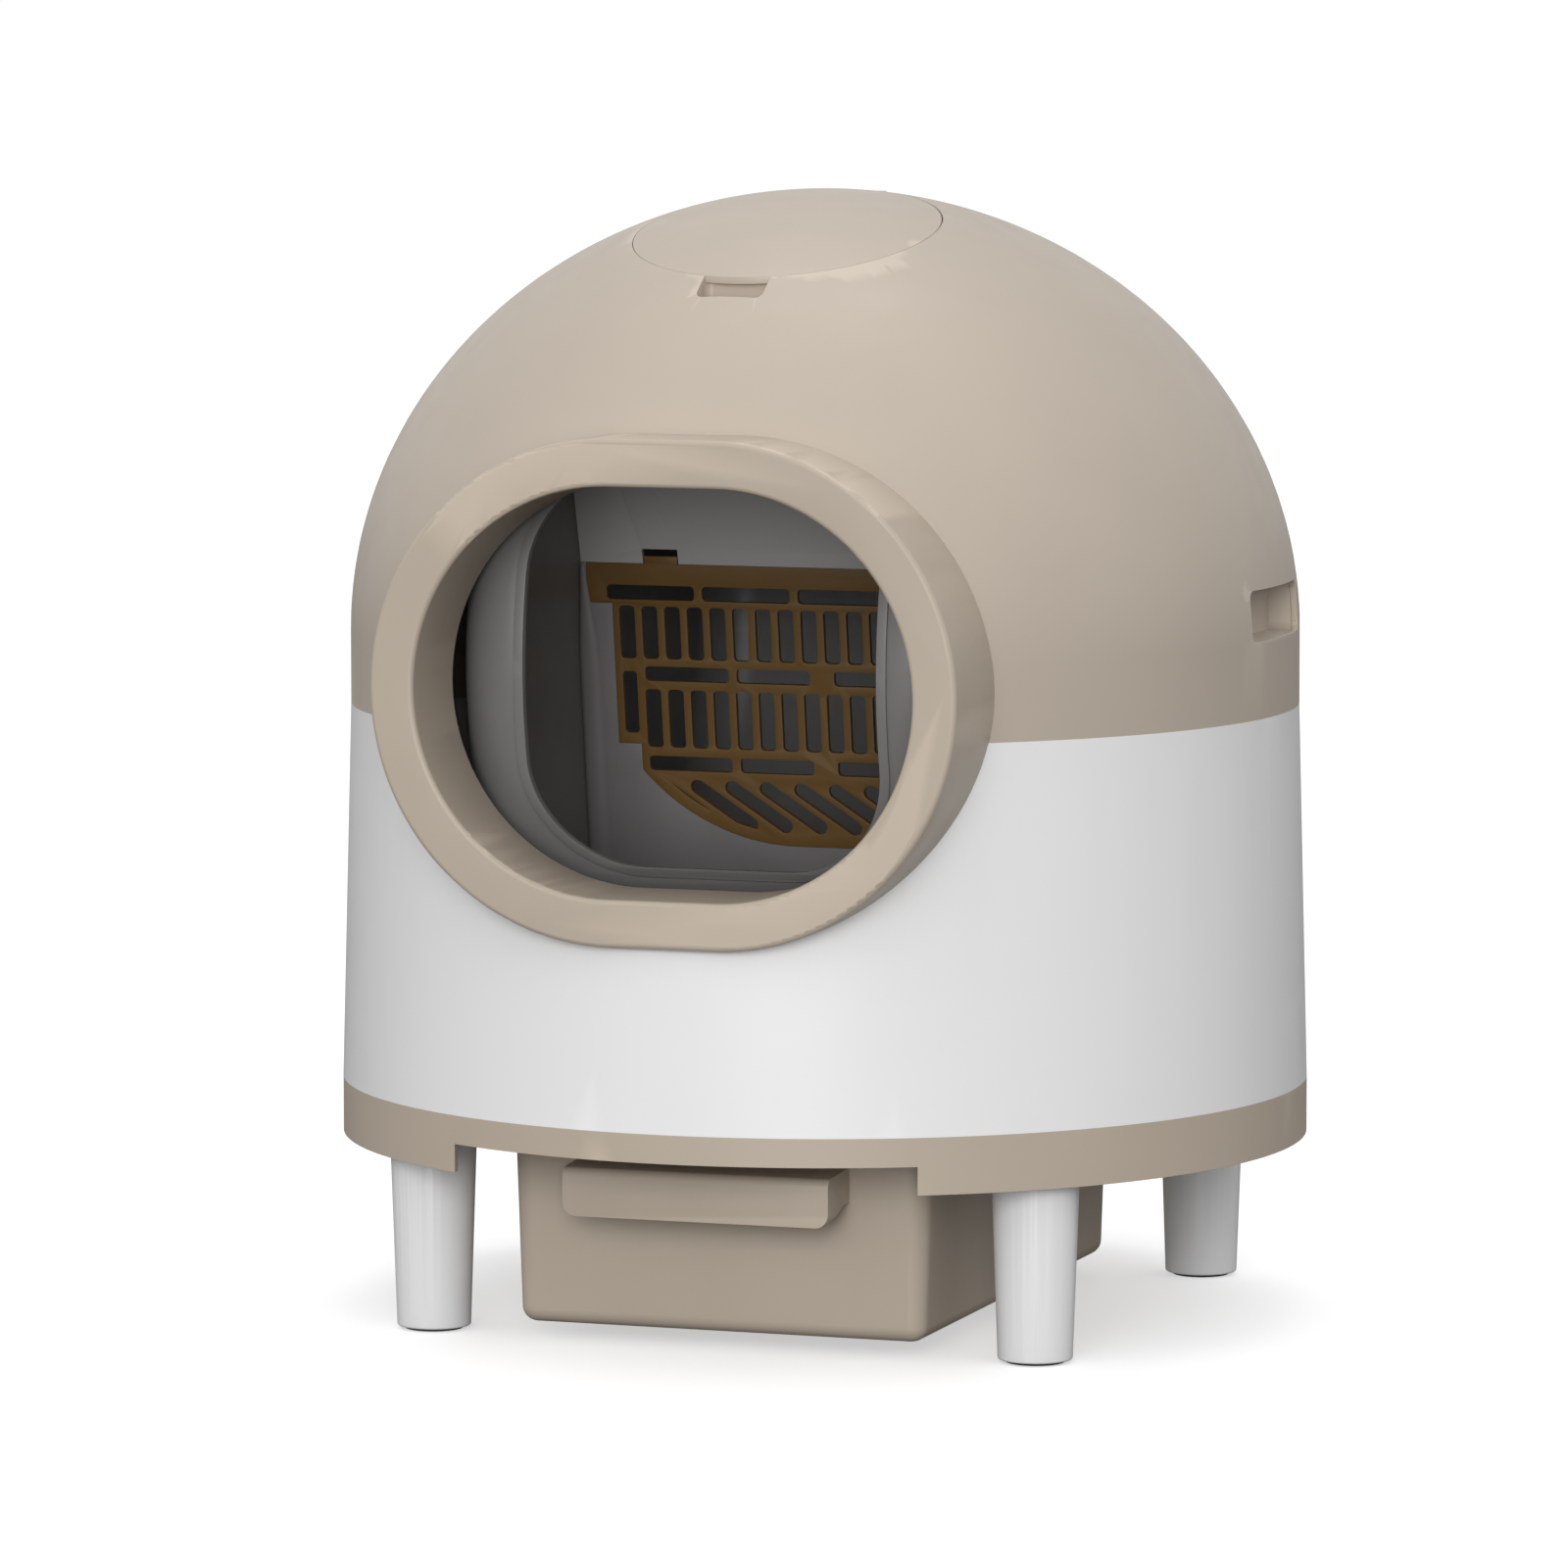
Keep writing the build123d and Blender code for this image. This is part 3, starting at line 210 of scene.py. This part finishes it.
def moulded_plastic(name, colour, roughness, grain=0.45 * MM, depth=0.03 * MM, drift=0.03, painted_edge_highlight=0.06):
    """Satin moulded plastic: grain in the normal, drift in colour and roughness, convex edges lighter as a painted
    highlight.
    """
    material = bpy.data.materials.new(name)
    material.use_nodes = True
    tree = material.node_tree
    shader = tree.nodes["Principled BSDF"]
    place = tree.nodes.new("ShaderNodeTexCoord")
    wide = noise(tree, place, 0.12, 3)
    fine = noise(tree, place, grain, 2)
    flow = noise(tree, place, 0.02, 2)
    spread = remap(tree, wide.outputs["Fac"], NOISE_LOW, NOISE_HIGH, 0, 1)
    base = tinted(tree, spread, scaled(colour, 1 - drift), scaled(colour, 1 + drift))
    # Painted highlight: where pointiness marks a convex edge, the base colour turns lighter, standing in for the
    # light that the edge's round catches.
    shape = tree.nodes.new("ShaderNodeNewGeometry")
    corner = remap(tree, shape.outputs["Pointiness"], 0.52, 0.60, 0, 1)
    lighter = tree.nodes.new("ShaderNodeMix")
    lighter.data_type = "RGBA"
    link(tree, corner, lighter.inputs["Factor"])
    link(tree, base, lighter.inputs["A"])
    lighter.inputs["B"].default_value = (*scaled(colour, 1 + 3 * painted_edge_highlight), 1)
    link(tree, lighter.outputs["Result"], shader.inputs["Base Color"])
    dull, bright = roughness + 0.04, roughness - 0.04
    sheen = remap(tree, flow.outputs["Fac"], NOISE_LOW, NOISE_HIGH, bright, dull)
    link(tree, sheen, shader.inputs["Roughness"])
    bump = tree.nodes.new("ShaderNodeBump")
    bump.inputs["Strength"].default_value = 0.35
    bump.inputs["Distance"].default_value = depth
    link(tree, fine.outputs["Fac"], bump.inputs["Height"])
    link(tree, bump.outputs["Normal"], shader.inputs["Normal"])
    shader.inputs["IOR"].default_value = 1.48
    return material


# %% [markdown]
# ## The colours
# The hood, collar, base ring and drawer are one grey beige. The shell and legs are a clean white. The drum is
# charcoal so that it doesn't show scratches, the plate over the sieve is a shade lighter, and the sieve is an
# ochre bronze. Inside the machine the frame is black, the gears are natural acetal, which is milky, and the
# feet are soft rubber.

# %% Plastics
finishes = {
    "hood_beige": moulded_plastic("hood_beige", (0.500, 0.432, 0.358), 0.42),
    "trim_tan": moulded_plastic("trim_tan", (0.492, 0.418, 0.336), 0.45),
    "shell_white": moulded_plastic("shell_white", (0.86, 0.86, 0.86), 0.36, drift=0.008, painted_edge_highlight=0.02),
    "drum_charcoal": moulded_plastic("drum_charcoal", (0.185, 0.181, 0.178), 0.40, depth=0.04 * MM),
    "deflector_grey": moulded_plastic("deflector_grey", (0.42, 0.412, 0.405), 0.42),
    "sieve_bronze": moulded_plastic("sieve_bronze", (0.16, 0.088, 0.026), 0.38),
    "frame_black": moulded_plastic("frame_black", (0.030, 0.030, 0.032), 0.5),
    "gear_natural": moulded_plastic("gear_natural", (0.74, 0.72, 0.66), 0.33, drift=0.02),
    "pad_rubber": moulded_plastic("pad_rubber", (0.045, 0.045, 0.045), 0.82, grain=0.9 * MM, depth=0.12 * MM),
}
finishes["gear_natural"].node_tree.nodes["Principled BSDF"].inputs["Subsurface Weight"].default_value = 0.15


# %% [markdown]
# ## Zinc-plated steel
# Screws, the hinge pin, the clips and the motor's can are plated steel. It is a metal shader with a fine
# directional scratch: the same noise, squeezed along one axis so that its spots become lines.


# %% Steel
def plated_steel(name):
    material = bpy.data.materials.new(name)
    material.use_nodes = True
    tree = material.node_tree
    shader = tree.nodes["Principled BSDF"]
    shader.inputs["Metallic"].default_value = 1
    shader.inputs["Base Color"].default_value = (0.62, 0.61, 0.59, 1)
    place = tree.nodes.new("ShaderNodeTexCoord")
    squeeze = tree.nodes.new("ShaderNodeMapping")
    squeeze.inputs["Scale"].default_value = (40, 1, 1)
    link(tree, place.outputs["Object"], squeeze.inputs["Vector"])
    lines = tree.nodes.new("ShaderNodeTexNoise")
    lines.inputs["Scale"].default_value = 60
    lines.inputs["Detail"].default_value = 4
    link(tree, squeeze.outputs["Vector"], lines.inputs["Vector"])
    sheen = remap(tree, lines.outputs["Fac"], NOISE_LOW, NOISE_HIGH, 0.24, 0.42)
    link(tree, sheen, shader.inputs["Roughness"])
    bump = tree.nodes.new("ShaderNodeBump")
    bump.inputs["Strength"].default_value = 0.2
    bump.inputs["Distance"].default_value = 0.02 * MM
    link(tree, lines.outputs["Fac"], bump.inputs["Height"])
    link(tree, bump.outputs["Normal"], shader.inputs["Normal"])
    return material


finishes["steel"] = plated_steel("steel")
slot_of = {row["node"]: row["material_slot"] for row in frame["record"]["subparts"]}
body_of_node = {n: body for body, members in frame["record"]["behaviour"]["bodies"].items() for n in members}
print("finishes", sorted(finishes))

# %% [markdown]
# The floor is matt white paper. A little glow keeps it as bright as the surroundings, so that it melts into
# them, and it still takes the soft shadow under the box.

# %% Floor paper
paper = bpy.data.materials.new("studio_paper")
paper.use_nodes = True
paper_shader = paper.node_tree.nodes["Principled BSDF"]
paper_shader.inputs["Base Color"].default_value = (0.72, 0.72, 0.72, 1)
paper_shader.inputs["Roughness"].default_value = 0.75
paper_shader.inputs["Emission Color"].default_value = (1, 1, 1, 1)
paper_shader.inputs["Emission Strength"].default_value = 0.50
sweep.data.materials.append(paper)


# %% [markdown]
# ## Moulded edges
# A design model has knife-sharp edges, and no moulded part does: the tool's corners are always rounded by a
# few tenths of a millimetre, and those small rounds catch the light. Each design mesh is copied, its split
# corners are welded, its flat triangles are merged, and a bevel rounds every edge sharper than a set angle.
# A bevel only takes material away, so the piece stays inside its design size. The copy then stands in for
# the design mesh.


# %% Rounding helper
WELD_DISTANCE = 0.004 * MM
FLAT_ANGLE = radians(0.3)


def link_piece(name, mesh, node_body, finish):
    """Put a finished mesh in the scene, riding on its body and wearing its finish."""
    piece = bpy.data.objects.new(name, mesh)
    bpy.context.scene.collection.objects.link(piece)
    mesh.materials.clear()
    mesh.materials.append(finishes[finish])
    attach(piece, node_body)
    return piece


def applied(piece):
    """Bake a piece's modifiers into its mesh."""
    graph = bpy.context.evaluated_depsgraph_get()
    mesh = bpy.data.meshes.new_from_object(piece.evaluated_get(graph))
    piece.modifiers.clear()
    piece.data = mesh


def soften_shading(mesh, angle):
    """Smooth shading that still breaks at edges sharper than angle."""
    mesh.shade_smooth()
    mesh.set_sharp_from_angle(angle=radians(angle))


def moulded_copy(node, edge, sharper_than=38, segments=3):
    """A copy of a design node with its sharp edges rounded by edge metres."""
    mesh = frame["nodes"][node].data.copy()
    work = bmesh.new()
    work.from_mesh(mesh)
    bmesh.ops.remove_doubles(work, verts=work.verts, dist=WELD_DISTANCE)
    bmesh.ops.dissolve_limit(work, angle_limit=FLAT_ANGLE, verts=work.verts, edges=work.edges)
    bmesh.ops.recalc_face_normals(work, faces=work.faces)
    work.to_mesh(mesh)
    work.free()
    piece = link_piece(node + "_moulded", mesh, body_of_node[node], slot_of[node])
    bevel = piece.modifiers.new("edge_round", "BEVEL")
    bevel.width = edge
    bevel.segments = segments
    bevel.limit_method = "ANGLE"
    bevel.angle_limit = radians(sharper_than)
    bevel.miter_outer = "MITER_ARC"
    applied(piece)
    soften_shading(piece.data, sharper_than)
    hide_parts(node)
    return piece


# %% [markdown]
# ## The moulded pieces
# The housing first, then the drawer, the drum and what is behind them. The rounds, in millimetres, differ
# because the real tools do: the base ring has a soft corner, and the hatch has a tight one, so that its seam
# stays a thin line.

# %% Moulded pieces
edge_rounds = {
    "hood": 0.25, "top_hatch": 0.15, "hatch_hinge_knuckle": 0.4, "hatch_frame": 0.4,
    "grip_cup_left": 0.4, "grip_cup_right": 0.4, "entrance_collar": 0.5,
    "body_shell": 0.6, "base_chassis": 1.2, "leg_front_left": 0.7, "leg_front_right": 0.7,
    "leg_rear_left": 0.7, "leg_rear_right": 0.7, "waste_drawer": 1.0, "drawer_handle": 1.0,
    "drawer_rail_left": 0.5, "drawer_rail_right": 0.5, "waste_chute": 0.8,
    "drum_front_shell": 0.9, "drum_rear_shell": 0.9, "mouth_trim": 1.3, "divider": 0.5, "sieve": 0.7,
    "deflector_plate": 0.7, "side_tower_left": 0.8, "side_tower_right": 0.8,
    "control_housing": 1.2, "drum_gear": 0.3, "pinion": 0.3,
}
for node, edge in edge_rounds.items():
    piece = moulded_copy(node, edge * MM)
    print(piece.name, len(piece.data.polygons), "faces")

# %% [markdown]
# ## True round normals
# A round wall made of flat facets shows faint stripes where its facets are long and thin. The housing's form
# is known exactly, an ellipsoid over a short upright band over a slightly tapered shell, so the shading can
# use that form: each corner of each facet that lies on it gets the direction straight out of the real
# surface.

# %% Normals of the housing
hood_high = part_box("hood")[1]
shell_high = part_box("body_shell")[1]
ring_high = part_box("base_chassis")[1]
dome_spring = 351.5 * MM
shell_lip = 2 * MM
dome_rise = hood_high.z - dome_spring
shell_taper = (ring_high.x - hood_high.x) / (shell_high.z - ring_high.z)


def housing_normal(point):
    """The direction straight out of the housing's round form at a point."""
    if point.z > dome_spring:
        flat = hood_high.x**2
        return Vector((point.x / flat, point.y / flat, (point.z - dome_spring) / dome_rise**2)).normalized()
    outwards = Vector((point.x, point.y, 0)).normalized()
    if ring_high.z < point.z < shell_high.z - shell_lip:
        outwards.z = shell_taper
    return outwards.normalized()


def round_normals(mesh, within=5):
    """Give the facets that lie on the housing's form its true normals, inside and out."""
    normals = [corner.vector.copy() for corner in mesh.corner_normals]
    count = 0
    for face in mesh.polygons:
        agreement = face.normal.dot(housing_normal(face.center))
        if abs(agreement) < cos(radians(within)):
            continue
        side = 1 if agreement > 0 else -1
        count += 1
        for corner in face.loop_indices:
            place = mesh.vertices[mesh.loops[corner].vertex_index].co
            normals[corner] = side * housing_normal(place)
    mesh.normals_split_custom_set(normals)
    return count


for node in ("hood", "top_hatch", "body_shell", "base_chassis"):
    print(node, "true normals on", round_normals(bpy.data.objects[node + "_moulded"].data), "facets")

# %% [markdown]
# ## The rest of the mechanism
# Turned and stamped parts keep their design meshes, which are already right. They only need their finish in
# the mesh's material slots, and smooth shading would change nothing on parts this small.

# %% Finish on the small parts
for node, source in frame["nodes"].items():
    if source.hide_render:
        continue
    finish = finishes[slot_of[node]]
    if source.material_slots:
        for holder in source.material_slots:
            holder.material = finish
    else:
        source.data.materials.append(finish)

# %% [markdown]
# ## The bowl's cove
# The wall that carries the sieve doesn't meet the drum at a sharp corner, where litter would cake. A cove
# runs round the bottom and up the sides, and tightens where the sieve comes near. It is a strip: walk along
# the wall's outline, and at each stop draw a quarter round from the wall to the drum. Each point is pulled
# inside the barrel where the round would poke through it.

# %% Cove strip
panel_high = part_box("divider")[1]
drum_low, drum_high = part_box("drum_rear_shell")
axis_z = next(j for j in frame["joints"] if j["name"] == "drum_spin")["pos_m"][2]
drum_wall = 3 * MM
barrel_half = (drum_high.x - drum_low.x) / 2 - drum_wall
barrel_radius = drum_high.y - drum_wall
barrel_corner = 27 * MM
panel_lean = radians(8)
panel_y = -7.6 * MM
panel_up = Vector((0, -sin(panel_lean), cos(panel_lean)))
panel_front = Vector((0, -cos(panel_lean), -sin(panel_lean)))
panel_origin = Vector((0, panel_y, axis_z))
cove_wide = 9 * MM
cove_tight = 2.2 * MM
tight_above = 14 * MM


def barrel_reach(x):
    """The barrel's inner radius at x: flat in the middle, rounded off at the ends."""
    into_corner = abs(x) - (barrel_half - barrel_corner)
    if into_corner <= 0:
        return barrel_radius
    into_corner = min(into_corner, barrel_corner)
    return barrel_radius - barrel_corner + sqrt(barrel_corner**2 - into_corner**2)


def inside_barrel(point, skin=0.4 * MM):
    """Pull a point towards the drum's axle until it lies inside the barrel's wall."""
    x = max(-barrel_half + skin, min(barrel_half - skin, point.x))
    away = Vector((0, point.y, point.z - axis_z))
    reach = barrel_reach(x) - skin
    if away.length > reach:
        away *= reach / away.length
    return Vector((x, away.y, away.z + axis_z))


def cove_stops(count=96):
    """Points on the panel's lower outline, with the direction inwards."""
    top = panel_high.z - axis_z - 2 * MM
    depth = sqrt(barrel_radius**2 - panel_y**2)
    straight = depth - barrel_corner
    flat = barrel_half - barrel_corner
    lengths = [top + straight, barrel_corner * pi / 2, 2 * flat, barrel_corner * pi / 2, top + straight]
    total = sum(lengths)
    stops = []
    for i in range(count + 1):
        s = total * i / count
        if s <= lengths[0]:
            place, inward = (-barrel_half, top - s), (1, 0)
        elif s <= sum(lengths[:2]):
            a = (s - lengths[0]) / barrel_corner
            place = (-flat - barrel_corner * cos(a), -straight - barrel_corner * sin(a))
            inward = (cos(a), sin(a))
        elif s <= sum(lengths[:3]):
            place, inward = (-flat + s - sum(lengths[:2]), -depth), (0, 1)
        elif s <= sum(lengths[:4]):
            a = (s - sum(lengths[:3])) / barrel_corner
            place = (flat + barrel_corner * sin(a), -straight - barrel_corner * cos(a))
            inward = (-sin(a), cos(a))
        else:
            place, inward = (barrel_half, -straight + s - sum(lengths[:4])), (-1, 0)
        stops.append((place, inward))
    return stops


def cove_room(height):
    """How wide the cove may be at a height on the panel: tight beside the sieve's wide top row."""
    return cove_tight if height > tight_above else cove_wide


def bowl_cove(rounds=12, smoothing=6, lift=0.15 * MM):
    """The cove's strip, lifted a hair off the wall that it starts from."""
    stops = cove_stops()
    rooms = [cove_room(place[1]) for place, inward in stops]
    for _ in range(smoothing):
        rooms = [rooms[0]] + [sum(rooms[i - 1:i + 2]) / 3 for i in range(1, len(rooms) - 1)] + [rooms[-1]]
    work = bmesh.new()
    rows = []
    for (place, inward), room in zip(stops, rooms):
        row = []
        for k in range(rounds + 1):
            a = k / rounds * pi / 2
            across = room * (1 - sin(a))
            forward = room * (1 - cos(a)) + lift
            u = place[0] + inward[0] * across
            v = place[1] + inward[1] * across
            point = panel_origin + Vector((u, 0, 0)) + panel_up * v + panel_front * forward
            row.append(work.verts.new(inside_barrel(point)))
        rows.append(row)
    for first, second in zip(rows, rows[1:]):
        for k in range(rounds):
            work.faces.new((first[k], first[k + 1], second[k + 1], second[k]))
    bmesh.ops.recalc_face_normals(work, faces=work.faces)
    mesh = bpy.data.meshes.new("divider_cove")
    work.to_mesh(mesh)
    work.free()
    mesh.shade_smooth()
    return link_piece("divider_cove", mesh, "drum", "drum_charcoal")


cove = bowl_cove()
print("cove", len(cove.data.polygons), "faces")
